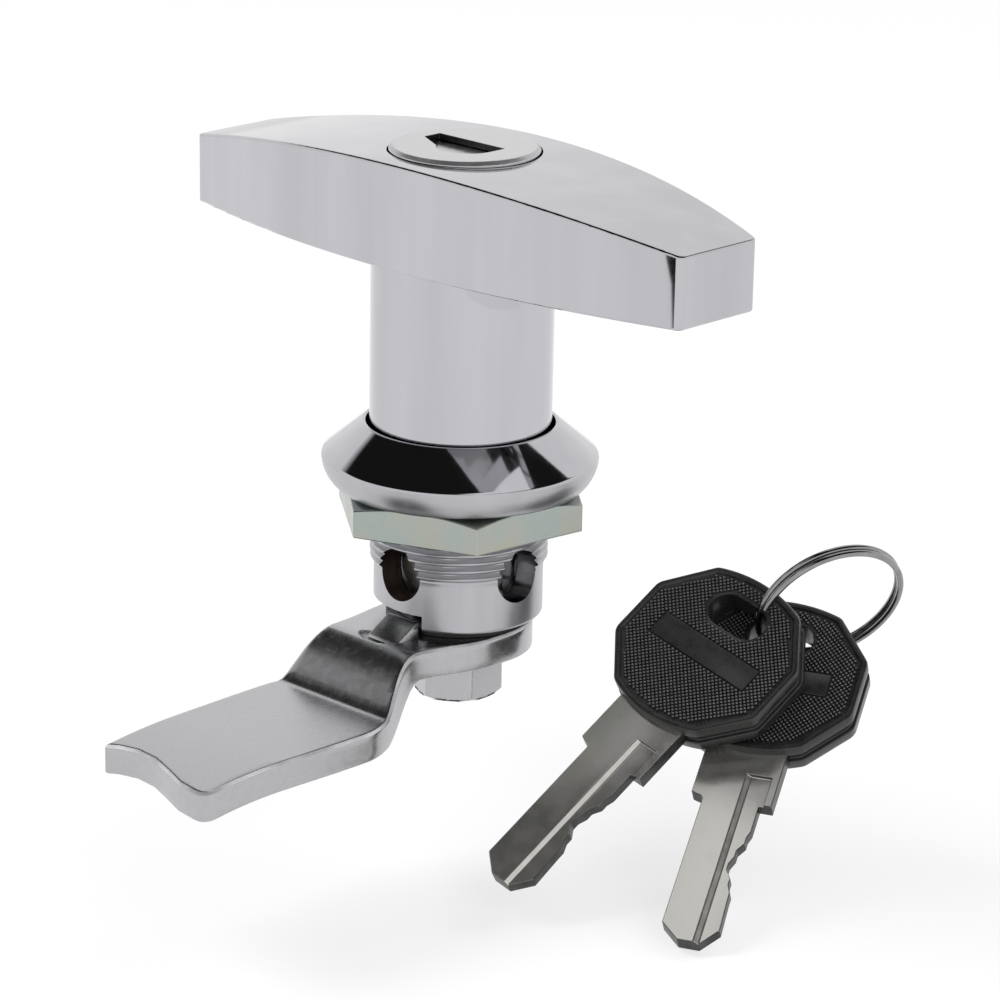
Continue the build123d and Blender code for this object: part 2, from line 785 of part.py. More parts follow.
def parts():
    """Every piece by name."""
    made = {
        "housing": housing(),
        "hex_nut": hex_nut(),
        "t_handle": t_handle(),
        "plug": plug(),
        "plug_cap": plug_cap(),
        "dust_shutter": dust_shutter(),
        "wafer_springs": wafer_springs(),
        "plug_retainer": wafer(retainer_height, 0, retainer_reach),
        "driver": driver(),
        "locking_pin": locking_pin(),
        "o_ring": o_ring(),
        "slide_washer": slide_washer(),
        "cam": cam(),
        "spring_washer": spring_washer(),
        "cam_bolt": cam_bolt(),
        "key_ring": key_ring(),
    }
    for index, height in enumerate(wafer_heights()):
        made[f"wafer_{index + 1}"] = wafer(height, cut_depths[index], 0)
    for index in range(2):
        made[f"key_{index + 1}_head"] = key_plane(index) * key_head()
        made[f"key_{index + 1}_blade"] = key_plane(index) * key_blade()
    return made


os.makedirs("parts", exist_ok=True)
for name, piece in parts().items():
    solids = piece if isinstance(piece, list) else piece.solids()
    shape = solids[0] if len(solids) == 1 else Compound(children=list(solids))
    export_step(shape, f"parts/{name}.step")
    print(f"{name}: {len(solids)} solid, {sum(s.volume for s in solids):.1f} cubic mm")
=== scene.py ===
import json
import math
import bmesh
import bpy
from mathutils import Matrix, Vector


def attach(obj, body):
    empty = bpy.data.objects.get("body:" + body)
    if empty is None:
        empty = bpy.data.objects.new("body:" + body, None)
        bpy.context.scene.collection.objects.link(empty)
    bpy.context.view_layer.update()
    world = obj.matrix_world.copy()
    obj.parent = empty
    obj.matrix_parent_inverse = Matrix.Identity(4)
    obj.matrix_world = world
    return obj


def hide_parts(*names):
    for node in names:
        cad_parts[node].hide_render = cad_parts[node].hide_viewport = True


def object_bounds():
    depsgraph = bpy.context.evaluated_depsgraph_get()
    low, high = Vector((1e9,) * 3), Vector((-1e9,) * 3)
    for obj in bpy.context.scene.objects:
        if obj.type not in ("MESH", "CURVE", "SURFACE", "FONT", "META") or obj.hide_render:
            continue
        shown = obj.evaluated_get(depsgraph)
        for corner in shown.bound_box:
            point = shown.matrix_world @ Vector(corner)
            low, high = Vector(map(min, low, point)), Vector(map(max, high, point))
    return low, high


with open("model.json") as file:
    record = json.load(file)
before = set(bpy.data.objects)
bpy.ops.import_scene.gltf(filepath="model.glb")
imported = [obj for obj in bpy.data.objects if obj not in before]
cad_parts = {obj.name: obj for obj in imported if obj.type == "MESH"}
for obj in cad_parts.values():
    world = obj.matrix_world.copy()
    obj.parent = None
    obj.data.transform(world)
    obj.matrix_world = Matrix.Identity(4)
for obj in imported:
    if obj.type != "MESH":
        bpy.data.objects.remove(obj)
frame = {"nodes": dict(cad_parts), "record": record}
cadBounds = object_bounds()
nodes = frame["nodes"]
scene = bpy.context.scene
mm = 0.001
print("frame loaded:", len(nodes), "nodes")

# camera, placed by direction and distance from the point it looks at

cameraSetup = {
    "target": (3.585 * mm, 3.453 * mm, -2.383 * mm),
    "distance": 484.6 * mm,
    "azimuth": 43.93,  # degrees from -Y towards +X
    "elevation": 18.331,
    "roll": 1.078,
    "lens": 142.13,
    "sensor": 36.0,
    "near": 0.01,
}


def makeCamera(setup):
    azimuth = math.radians(setup["azimuth"])
    elevation = math.radians(setup["elevation"])
    back = Vector((math.cos(elevation) * math.sin(azimuth), -math.cos(elevation) * math.cos(azimuth),
                   math.sin(elevation)))
    data = bpy.data.cameras.new("photoCamera")
    data.lens = setup["lens"]
    data.sensor_width = setup["sensor"]
    data.clip_start = setup["near"]
    camera = bpy.data.objects.new("photoCamera", data)
    scene.collection.objects.link(camera)
    turn = back.to_track_quat("Z", "Y").to_matrix() @ Matrix.Rotation(math.radians(setup["roll"]), 3, "Z")
    at = Vector(setup["target"]) + back * setup["distance"]
    camera.matrix_world = Matrix.Translation(at) @ turn.to_4x4()
    scene.camera = camera


makeCamera(cameraSetup)
scene.view_settings.view_transform = "Standard"
print("camera placed")

# studio: pale floor, white surroundings, soft lamps, and for reflections only a dark dome and two small cards

studio = {
    "floorSize": 6.0,
    "floorGap": 0.3 * mm,
    "floorColor": (0.34, 0.34, 0.345),
    "floorGlow": 0.62,
    "ambient": 0.62,
    "lamps": [
        {"name": "keyLamp", "at": (-0.55, -0.35, 0.75), "size": 0.5, "power": 5.0},
        {"name": "fillLamp", "at": (0.75, -0.25, 0.45), "size": 0.6, "power": 3.0},
        {"name": "backLamp", "at": (0.1, 0.8, 0.7), "size": 0.6, "power": 2.5},
    ],
    # in degrees: its glow falls to dark from low to full, and outside its azimuths it is open, at the back
    "dome": {"radius": 1.3, "low": 29, "full": 34, "high": 89.5, "dark": 0.012, "azimuths": (-112, 166),
             "rows": 16, "around": 48},
    "smallCards": [
        # a light one for the second key's blade, then a dark one for the wedge at the bar's near corner
        {"name": "keyCard", "glow": 0.98,
         "corners": [(22, -24, 22), (39, -24, 22), (34, 4, 22), (19, 4, 22)]},
        {"name": "cornerFlag", "glow": 0.01,
         "corners": [(36.1, -26, 21), (37.2, -26, 21), (37.6, -26, 28.5), (38.8, -26, 32.4),
                     (34.8, -26, 32.4), (35.7, -26, 28.8)]},
    ],
}


def addNode(tree, kind, **values):
    node = tree.nodes.new(kind)
    for key, value in values.items():
        setattr(node, key, value)
    return node


def whiteRayFactor(tree):
    # 1 for camera, glossy and transmission rays, which all see the plain white background
    path = addNode(tree, "ShaderNodeLightPath")
    first = addNode(tree, "ShaderNodeMath", operation="MAXIMUM")
    second = addNode(tree, "ShaderNodeMath", operation="MAXIMUM")
    tree.links.new(path.outputs["Is Camera Ray"], first.inputs[0])
    tree.links.new(path.outputs["Is Glossy Ray"], first.inputs[1])
    tree.links.new(first.outputs[0], second.inputs[0])
    tree.links.new(path.outputs["Is Transmission Ray"], second.inputs[1])
    return second.outputs[0]


def addBackground(tree, strength):
    background = addNode(tree, "ShaderNodeBackground")
    background.inputs["Color"].default_value = (1, 1, 1, 1)
    background.inputs["Strength"].default_value = strength
    return background


def makeWorld():
    world = bpy.data.worlds.new("studioWorld")
    scene.world = world
    world.use_nodes = True
    tree = world.node_tree
    tree.nodes.clear()
    white = addBackground(tree, 1.0)
    soft = addBackground(tree, studio["ambient"])
    mix = addNode(tree, "ShaderNodeMixShader")
    out = addNode(tree, "ShaderNodeOutputWorld")
    tree.links.new(whiteRayFactor(tree), mix.inputs[0])
    tree.links.new(soft.outputs[0], mix.inputs[1])
    tree.links.new(white.outputs[0], mix.inputs[2])
    tree.links.new(mix.outputs[0], out.inputs[0])


def makeFloor():
    low = cadBounds[0][2] - studio["floorGap"]
    half = studio["floorSize"] / 2
    mesh = bpy.data.meshes.new("floor")
    mesh.from_pydata([(-half, -half, low), (half, -half, low), (half, half, low), (-half, half, low)], [],
                     [(0, 1, 2, 3)])
    floor = bpy.data.objects.new("floor", mesh)
    scene.collection.objects.link(floor)
    material = bpy.data.materials.new("paleFloor")
    material.use_nodes = True
    tree = material.node_tree
    tree.nodes.clear()
    paint = addNode(tree, "ShaderNodeBsdfDiffuse")
    paint.inputs["Color"].default_value = (*studio["floorColor"], 1)
    glow = addNode(tree, "ShaderNodeEmission")
    glow.inputs["Color"].default_value = (1, 1, 1, 1)
    scaled = addNode(tree, "ShaderNodeMath", operation="MULTIPLY")
    scaled.inputs[1].default_value = studio["floorGlow"]
    tree.links.new(whiteRayFactor(tree), scaled.inputs[0])
    tree.links.new(scaled.outputs[0], glow.inputs["Strength"])
    both = addNode(tree, "ShaderNodeAddShader")
    out = addNode(tree, "ShaderNodeOutputMaterial")
    tree.links.new(paint.outputs[0], both.inputs[0])
    tree.links.new(glow.outputs[0], both.inputs[1])
    tree.links.new(both.outputs[0], out.inputs[0])
    mesh.materials.append(material)


def makeLamps():
    for lamp in studio["lamps"]:
        data = bpy.data.lights.new(lamp["name"], "AREA")
        data.shape = "DISK"
        data.size = lamp["size"]
        data.energy = lamp["power"]
        light = bpy.data.objects.new(lamp["name"], data)
        scene.collection.objects.link(light)
        at = Vector(lamp["at"])
        light.matrix_world = Matrix.Translation(at) @ at.to_track_quat("Z", "Y").to_matrix().to_4x4()
        light.visible_glossy = False


def onlyInReflections(card):
    card.visible_camera = False
    card.visible_diffuse = False
    card.visible_shadow = False
    card.visible_transmission = False


def cardMaterial(name, levels):
    # plain glow that changes with height; levels are two of (share of the card's height, strength)
    material = bpy.data.materials.new(name)
    material.use_nodes = True
    tree = material.node_tree
    tree.nodes.clear()
    place = addNode(tree, "ShaderNodeTexCoord")
    split = addNode(tree, "ShaderNodeSeparateXYZ")
    tree.links.new(place.outputs["Generated"], split.inputs[0])
    ramp = addNode(tree, "ShaderNodeValToRGB")
    for stop, (at, strength) in zip(ramp.color_ramp.elements, levels):
        stop.position = at
        stop.color = (strength, strength, strength, 1)
    tree.links.new(split.outputs["Z"], ramp.inputs[0])
    glow = addNode(tree, "ShaderNodeEmission")
    tree.links.new(ramp.outputs[0], glow.inputs["Color"])
    out = addNode(tree, "ShaderNodeOutputMaterial")
    tree.links.new(glow.outputs[0], out.inputs[0])
    return material


def makeDome(dome):
    verts, faces = [], []
    rows, around = dome["rows"], dome["around"]
    first, last = dome["azimuths"]
    for j in range(rows + 1):
        rise = math.radians(dome["low"] + (dome["high"] - dome["low"]) * j / rows)
        for k in range(around + 1):
            turn = math.radians(first + (last - first) * k / around)
            verts.append((dome["radius"] * math.cos(rise) * math.sin(turn),
                          -dome["radius"] * math.cos(rise) * math.cos(turn), dome["radius"] * math.sin(rise)))
    for j in range(rows):
        for k in range(around):
            n = j * (around + 1) + k
            faces.append((n, n + 1, n + around + 2, n + around + 1))
    mesh = bpy.data.meshes.new("overheadCard")
    mesh.from_pydata(verts, [], faces)
    card = bpy.data.objects.new("overheadCard", mesh)
    scene.collection.objects.link(card)
    low = math.sin(math.radians(dome["low"]))

    def share(degrees):
        return (math.sin(math.radians(degrees)) - low) / (1 - low)

    mesh.materials.append(cardMaterial("overheadShade", [(0.0, 1.0), (share(dome["full"]), dome["dark"])]))
    onlyInReflections(card)


def makeSmallCard(card):
    mesh = bpy.data.meshes.new(card["name"])
    corners = [[c * mm for c in corner] for corner in card["corners"]]
    mesh.from_pydata(corners, [], [tuple(range(len(corners)))])
    sheet = bpy.data.objects.new(card["name"], mesh)
    scene.collection.objects.link(sheet)
    mesh.materials.append(cardMaterial(card["name"] + "Glow", [(0.0, card["glow"]), (1.0, card["glow"])]))
    onlyInReflections(sheet)


makeWorld()
makeFloor()
makeLamps()
makeDome(studio["dome"])
for card in studio["smallCards"]:
    makeSmallCard(card)
print("studio set up")

# finishes: one for each of the record's slots, and six for some faces of a piece (satin_casting,
# painted_shade_bore, shaded_bare_bore, painted_edge_highlight, painted_shade_wall and knurl_tip_highlight);
# stretch is there where the grain runs one way, and in chrome_casting it draws the colours out into upright
# bands of painted reflection

finishes = {
    # its two colours, drawn out upright by the stretch, are painted reflection bands on the neck and bar
    "chrome_casting": {"color": (0.467, 0.464, 0.489), "other": (0.522, 0.519, 0.544), "metallic": 1.0,
                       "roughness": (0.05, 0.09), "grain": 160, "bump": 0.015, "bumpGrain": 180,
                       "stretch": (1, 1, 0.1)},
    "satin_casting": {"color": (0.45, 0.448, 0.47), "other": (0.50, 0.498, 0.518), "metallic": 0.85,
                      "roughness": (0.28, 0.36), "grain": 400, "bump": 0.03, "bumpGrain": 900,
                      "stretch": (1, 1, 0.2)},
    # painted shade, brown-tinted, inside the front cross hole
    "painted_shade_bore": {"color": (0.030, 0.022, 0.018), "other": (0.075, 0.05, 0.036), "metallic": 0.7,
                  "roughness": (0.35, 0.5), "grain": 700, "bump": 0.15, "bumpGrain": 1500},
    # bare metal darkened by painted shade inside the other three cross holes
    "shaded_bare_bore": {"color": (0.13, 0.13, 0.135), "other": (0.26, 0.26, 0.265), "metallic": 1.0,
                  "roughness": (0.12, 0.24), "grain": 500, "bump": 0.05, "bumpGrain": 1200},
    "polished_steel": {"color": (0.51, 0.51, 0.515), "other": (0.55, 0.55, 0.555), "metallic": 1.0,
                       "roughness": (0.14, 0.22), "grain": 900, "bump": 0.03, "bumpGrain": 2500},
    "zinc_plate": {"color": (0.34, 0.405, 0.40), "other": (0.45, 0.44, 0.37), "metallic": 1.0,
                   "roughness": (0.24, 0.34), "grain": 170, "bump": 0.01, "bumpGrain": 1600},
    "nickel_plate": {"color": (0.44, 0.441, 0.453), "other": (0.475, 0.476, 0.488), "metallic": 1.0,
                     "roughness": (0.23, 0.29), "grain": 900, "bump": 0.01, "bumpGrain": 700},
    # a painted highlight: a patchy light line along the cam's rounded top edge
    "painted_edge_highlight": {"color": (0.26, 0.26, 0.27), "other": (0.90, 0.90, 0.92), "metallic": 0.35,
                  "roughness": (0.3, 0.45), "grain": 110, "bump": 0.01, "bumpGrain": 700},
    "zinc_die_cast": {"color": (0.38, 0.38, 0.39), "other": (0.46, 0.46, 0.47), "metallic": 1.0,
                      "roughness": (0.32, 0.5), "grain": 700, "bump": 0.12, "bumpGrain": 2200},
    "wafer_brass": {"color": (0.62, 0.44, 0.18), "other": (0.70, 0.50, 0.22), "metallic": 1.0,
                    "roughness": (0.2, 0.36), "grain": 600, "bump": 0.06, "bumpGrain": 2600,
                    "stretch": (4, 1, 1)},
    "turned_steel": {"color": (0.37, 0.36, 0.34), "other": (0.43, 0.42, 0.40), "metallic": 1.0,
                     "roughness": (0.2, 0.34), "grain": 400, "bump": 0.1, "bumpGrain": 900,
                     "stretch": (1, 6, 1)},
    "spring_steel": {"color": (0.40, 0.40, 0.42), "other": (0.44, 0.44, 0.46), "metallic": 1.0,
                     "roughness": (0.18, 0.3), "grain": 800, "bump": 0.04, "bumpGrain": 3000},
    "ring_steel": {"color": (0.24, 0.24, 0.245), "other": (0.32, 0.32, 0.325), "metallic": 1.0,
                   "roughness": (0.10, 0.18), "grain": 500, "bump": 0.04, "bumpGrain": 2000},
    "key_nickel": {"color": (0.52, 0.508, 0.48), "other": (0.62, 0.605, 0.57), "metallic": 0.86,
                   "roughness": (0.13, 0.22), "grain": 420, "bump": 0.03, "bumpGrain": 1500},
    # painted shade for the cap's keyhole walls and the key blades' side walls
    "painted_shade_wall": {"color": (0.035, 0.035, 0.036), "other": (0.09, 0.088, 0.085), "metallic": 0.9,
                     "roughness": (0.28, 0.4), "grain": 500, "bump": 0.12, "bumpGrain": 1500},
    "seal_rubber": {"color": (0.016, 0.016, 0.017), "other": (0.024, 0.024, 0.025), "metallic": 0.0,
                    "roughness": (0.5, 0.7), "grain": 600, "bump": 0.1, "bumpGrain": 2500},
    "black_nylon": {"color": (0.010, 0.010, 0.011), "other": (0.016, 0.016, 0.017), "metallic": 0.0,
                    "roughness": (0.35, 0.55), "grain": 600, "bump": 0.08, "bumpGrain": 2200},
    # painted highlight on the flat tops of the key heads' knurl pyramids
    "knurl_tip_highlight": {"color": (0.085, 0.089, 0.086), "other": (0.150, 0.155, 0.150), "metallic": 0.0,
                      "roughness": (0.22, 0.32), "grain": 900, "bump": 0.05, "bumpGrain": 2600},
    "black_key_plastic": {"color": (0.014, 0.015, 0.014), "other": (0.024, 0.026, 0.024), "metallic": 0.0,
                          "roughness": (0.24, 0.34), "grain": 700, "bump": 0.02, "bumpGrain": 2600},
}
# shared by all finishes: the part of the noise that is used, its detail, and how deep the bumps are
noiseSetup = {"low": 0.3, "high": 0.7, "detail": 4.0, "bumpDetail": 1.0, "bumpDepth": 0.05 * mm}


def makeFinish(name, look):
    material = bpy.data.materials.new(name + "_finish")
    material.use_nodes = True
    tree = material.node_tree
    shader = tree.nodes["Principled BSDF"]
    shader.inputs["Metallic"].default_value = look["metallic"]
    place = addNode(tree, "ShaderNodeTexCoord")
    spread = addNode(tree, "ShaderNodeMapping")
    spread.inputs["Scale"].default_value = look.get("stretch", (1, 1, 1))
    cloud = addNode(tree, "ShaderNodeTexNoise")
    cloud.inputs["Scale"].default_value = look["grain"]
    cloud.inputs["Detail"].default_value = noiseSetup["detail"]
    tree.links.new(place.outputs["Object"], spread.inputs["Vector"])
    tree.links.new(spread.outputs[0], cloud.inputs["Vector"])
    tone = addNode(tree, "ShaderNodeMapRange")
    tone.inputs["From Min"].default_value = noiseSetup["low"]
    tone.inputs["From Max"].default_value = noiseSetup["high"]
    tone.inputs["To Min"].default_value = look["roughness"][0]
    tone.inputs["To Max"].default_value = look["roughness"][1]
    tree.links.new(cloud.outputs["Fac"], tone.inputs["Value"])
    tree.links.new(tone.outputs[0], shader.inputs["Roughness"])
    ramp = addNode(tree, "ShaderNodeValToRGB")
    ramp.color_ramp.elements[0].position = noiseSetup["low"]
    ramp.color_ramp.elements[1].position = noiseSetup["high"]
    ramp.color_ramp.elements[0].color = (*look["color"], 1)
    ramp.color_ramp.elements[1].color = (*look["other"], 1)
    tree.links.new(cloud.outputs["Fac"], ramp.inputs[0])
    tree.links.new(ramp.outputs[0], shader.inputs["Base Color"])
    fine = addNode(tree, "ShaderNodeTexNoise")
    fine.inputs["Scale"].default_value = look["bumpGrain"]
    fine.inputs["Detail"].default_value = noiseSetup["bumpDetail"]
    tree.links.new(spread.outputs[0], fine.inputs["Vector"])
    relief = addNode(tree, "ShaderNodeBump")
    relief.inputs["Strength"].default_value = look["bump"]
    relief.inputs["Distance"].default_value = noiseSetup["bumpDepth"]
    tree.links.new(fine.outputs["Fac"], relief.inputs["Height"])
    tree.links.new(relief.outputs[0], shader.inputs["Normal"])
    return material


materials = {name: makeFinish(name, look) for name, look in finishes.items()}
slotOf = {part["node"]: part["material_slot"] for part in frame["record"]["subparts"]}
for name, node in nodes.items():
    node.data.materials.clear()
    node.data.materials.append(materials[slotOf[name]])
print("finishes made:", len(materials))


def looseObject(name, mesh):
    thing = bpy.data.objects.new(name, mesh)
    scene.collection.objects.link(thing)
    return thing


def addPiece(name, mesh, slot, body, replaced=(), place=None):
    # sets every face back to the slot's finish, so other finishes are given to faces afterwards
    piece = looseObject(name, mesh)
    mesh.materials.clear()
    mesh.materials.append(materials[slot])
    if place is not None:
        piece.matrix_world = place
    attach(piece, body)
    for node in replaced:
        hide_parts(node)
    return piece


def bakeModifiers(piece):
    graph = bpy.context.evaluated_depsgraph_get()
    graph.update()
    mesh = bpy.data.meshes.new_from_object(piece.evaluated_get(graph))
    piece.modifiers.clear()
    piece.data = mesh


# CAD nodes whose shape is right get their sharp edges rounded in a copy of the mesh

# vertices nearer than weld are joined and faces that bend less than flat (degrees) become one; then edges
# that bend more than a piece's angle (degrees) are rounded over its width (mm)
edgeRounding = {"weld": 0.0005 * mm, "flat": 0.8, "segments": 3}
roundedPieces = {
    "hex_nut": {"width": 0.16, "body": "panel_nut", "angle": 25},
    "cam_bolt": {"width": 0.25, "body": "handle", "angle": 25},
    "spring_washer": {"width": 0.12, "body": "handle", "angle": 35},
    "slide_washer": {"width": 0.12, "body": "handle", "angle": 35},
    "driver": {"width": 0.12, "body": "key_plug", "angle": 35},
    "locking_pin": {"width": 0.10, "body": "throw_pin", "angle": 35},
    "dust_shutter": {"width": 0.05, "body": "shutter", "angle": 35},
    "plug_retainer": {"width": 0.05, "body": "key_plug", "angle": 35},
    "plug_cap": {"width": 0.10, "body": "key_plug", "angle": 35},
    "key_1_blade": {"width": 0.12, "body": "key_one", "angle": 30},
    "key_2_blade": {"width": 0.12, "body": "key_two", "angle": 30},
}


def roundEdges(nodeName, width, body, angle):
    source = bmesh.new()
    source.from_mesh(nodes[nodeName].data)
    bmesh.ops.remove_doubles(source, verts=source.verts, dist=edgeRounding["weld"])
    flat = math.radians(edgeRounding["flat"])
    bmesh.ops.dissolve_limit(source, angle_limit=flat, verts=source.verts, edges=source.edges)
    mesh = bpy.data.meshes.new(nodeName + "_rounded")
    source.to_mesh(mesh)
    source.free()
    if "custom_normal" in mesh.attributes:
        mesh.attributes.remove(mesh.attributes["custom_normal"])
    mesh.shade_smooth()
    piece = addPiece(nodeName + "_rounded", mesh, slotOf[nodeName], body, [nodeName])
    rounding = piece.modifiers.new("edgeRounding", "BEVEL")
    rounding.width = width * mm
    rounding.segments = edgeRounding["segments"]
    rounding.limit_method = "ANGLE"
    rounding.angle_limit = math.radians(angle)
    rounding.harden_normals = True
    rounding.use_clamp_overlap = False


def finishCap(piece, v):
    # the keyhole's walls get painted shade, and the turned rim is duller than the polished top
    for name in ("painted_shade_wall", "satin_casting"):
        piece.data.materials.append(materials[name])
    for face in piece.data.polygons:
        far, up = math.hypot(face.center.x, face.center.y), face.normal.z
        if far < v["reach"] and abs(up) < v["wall"]:
            face.material_index = 1
        if far > v["reach"] and v["rim"][0] < up < v["rim"][1]:
            face.material_index = 2


def shadeBladeEdges(piece, place, limit):
    # the side walls of a key's blade get painted shade, darker than its plated faces
    flat = place.to_3x3() @ Vector((0, 0, 1))
    piece.data.materials.append(materials["painted_shade_wall"])
    for face in piece.data.polygons:
        if abs(face.normal.dot(flat)) < limit:
            face.material_index = 1


for index in range(1, 6):
    roundedPieces[f"wafer_{index}"] = {"width": 0.05, "body": f"wafer_{index}", "angle": 35}
for nodeName, values in roundedPieces.items():
    roundEdges(nodeName, **values)

# the keyhole's walls lie within reach of the axis and the turned rim beyond it; the other limits are of a
# face normal's share along the piece's axis
capFaces = {"reach": 7.5 * mm, "wall": 0.3, "rim": (0.15, 0.97)}
bladeEdgeLimit = 0.4

finishCap(bpy.data.objects["plug_cap_rounded"], capFaces)
print("edges rounded on", len(roundedPieces), "pieces")

# collar, threaded stem and notched skirt, turned as one profile with a real thread on the stem

collarBody = {
    "seatRadius": 15.2, "rimRadius": 17.0, "rimHeight": 3.8, "top": 7.9, "lipRadius": 12.0,
    "mouthRadius": 11.6, "mouthFloor": 3.0, "boreRadius": 7.65,
    "threadRoot": 10.45, "threadCrest": 10.98, "threadPitch": 1.0, "threadLow": -10.0,
    "skirtRadius": 10.45, "skirtLow": -16.35, "holeRadius": 3.3, "holeHeight": -9.75,
    "notchDepth": 2.0, "notchFrom": 160, "notchTo": 290, "notchSteps": 13, "notchReach": 20,
    "segments": 180, "sharp": 32, "seatStep": 0.5, "skirtStep": 0.5, "rimBelly": 0.42, "rimSteps": 12,
    # the rim's rounded upper edge, as (in from its radius, up from its height)
    "rimEdge": [(0.0, -0.3), (0.02, -0.12), (0.10, 0.04), (0.25, 0.19)],
    "rounding": {"lip": 0.2, "mouth": 0.12, "floor": 0.2, "bore": 0.25, "skirt": 0.45},
    "rowsPerPitch": 10, "threadFade": 0.8, "threadGap": 0.08, "threadFlank": 0.72, "near": 0.01,
    # which faces are satin or lie in a hole
    "satinBelow": 3.7, "holeInset": 0.25, "holeSpan": 3.6, "frontHole": -5,
}
crossHole = {"angles": (0, 90, 180, 270), "segments": 72, "depth": 20, "middle": 10.5}
cornerSteps = 5


def cornerArc(corner, before, after, radius):
    # the points of a rounded corner between two straight runs
    c, a, b = Vector(corner), Vector(before), Vector(after)
    u, v = (a - c).normalized(), (b - c).normalized()
    half = u.angle(v) / 2
    reach = radius / math.tan(half)
    start, end = c + u * reach, c + v * reach
    centre = c + (u + v).normalized() * (radius / math.sin(half))
    first, last = start - centre, end - centre
    turn = first.angle(last)
    points = []
    for k in range(cornerSteps + 1):
        t = k / cornerSteps
        w = (math.sin((1 - t) * turn) * first + math.sin(t * turn) * last) / math.sin(turn)
        points.append(tuple(centre + w))
    return points


def roundProfile(corners):
    # (radius, height, rounding) corners of a closed outline to smooth points
    points = []
    count = len(corners)
    for k, (r, z, rounding) in enumerate(corners):
        if rounding == 0:
            points.append((r, z))
        else:
            before, after = corners[k - 1][:2], corners[(k + 1) % count][:2]
            points += cornerArc((r, z), before, after, rounding)
    return points


def turnOutwards(mesh):
    work = bmesh.new()
    work.from_mesh(mesh)
    bmesh.ops.recalc_face_normals(work, faces=work.faces)
    work.to_mesh(mesh)
    work.free()


def turnedMesh(name, points, segments, shift):
    # an outline of (radius, height) points turned round the axis; shift moves points outwards
    verts = []
    for k in range(segments):
        angle = 2 * math.pi * k / segments
        for r, z in points:
            far = r + shift(r, z, angle)
            verts.append((far * math.cos(angle) * mm, far * math.sin(angle) * mm, z * mm))
    count = len(points)
    faces = []
    for k in range(segments):
        nextRow = (k + 1) % segments
        for j in range(count):
            faces.append((k * count + j, nextRow * count + j, nextRow * count + (j + 1) % count,
                          k * count + (j + 1) % count))
    mesh = bpy.data.meshes.new(name)
    mesh.from_pydata(verts, [], faces)
    mesh.validate()
    turnOutwards(mesh)
    return mesh


def cutAway(piece, cutters):
    for cutter in cutters:
        step = piece.modifiers.new("cut", "BOOLEAN")
        step.operation = "DIFFERENCE"
        step.solver = "EXACT"
        step.object = cutter
    bakeModifiers(piece)
    for cutter in cutters:
        bpy.data.objects.remove(cutter)


def crossCutter(name, radius, height, angle):
    radius, depth, middle = radius * mm, crossHole["depth"] * mm, crossHole["middle"] * mm
    work = bmesh.new()
    bmesh.ops.create_cone(work, cap_ends=True, segments=crossHole["segments"], radius1=radius, radius2=radius,
                          depth=depth)
    place = Matrix.Rotation(math.radians(angle), 4, "Z") @ Matrix.Translation((middle, 0, height * mm))
    bmesh.ops.transform(work, matrix=place @ Matrix.Rotation(math.radians(90), 4, "Y"), verts=work.verts)
    mesh = bpy.data.meshes.new(name)
    work.to_mesh(mesh)
    work.free()
    return looseObject(name, mesh)


def prismMesh(name, outline, low, high):
    count = len(outline)
    verts = [(x * mm, y * mm, z * mm) for z in (low, high) for x, y in outline]
    faces = [tuple(reversed(range(count))), tuple(range(count, 2 * count))]
    faces += [(k, (k + 1) % count, count + (k + 1) % count, count + k) for k in range(count)]
    mesh = bpy.data.meshes.new(name)
    mesh.from_pydata(verts, [], faces)
    return mesh


def collarCorners(v):
    # (radius, height, rounding) from the seat's inner edge round to the thread's lower end
    rimArc = []  # the rim curves in from upright to the seat
    a, c = (v["rimRadius"], v["rimHeight"]), (v["seatRadius"], 0)
    b = (v["rimRadius"], v["rimHeight"] * v["rimBelly"])
    for k in range(1, v["rimSteps"]):
        t = k / v["rimSteps"]
        rimArc.append(tuple((1 - t) ** 2 * p + 2 * t * (1 - t) * q + t * t * s for p, q, s in zip(a, b, c)))
    corners = [(v["threadRoot"], 0.0, 0), (v["seatRadius"] - v["seatStep"], 0.0, 0)]
    corners += [(r, z, 0) for r, z in reversed(rimArc)]
    corners += [(v["rimRadius"] - inwards, v["rimHeight"] + up, 0) for inwards, up in v["rimEdge"]]
    rounding = v["rounding"]
    return corners + [
        (v["lipRadius"], v["top"], rounding["lip"]),
        (v["mouthRadius"], v["top"], rounding["mouth"]),
        (v["mouthRadius"], v["mouthFloor"], rounding["floor"]),
        (v["boreRadius"], v["mouthFloor"], rounding["floor"]),
        (v["boreRadius"], v["skirtLow"], rounding["bore"]),
        (v["skirtRadius"], v["skirtLow"], rounding["skirt"]),
        (v["skirtRadius"], v["threadLow"] - v["skirtStep"], 0),
    ]


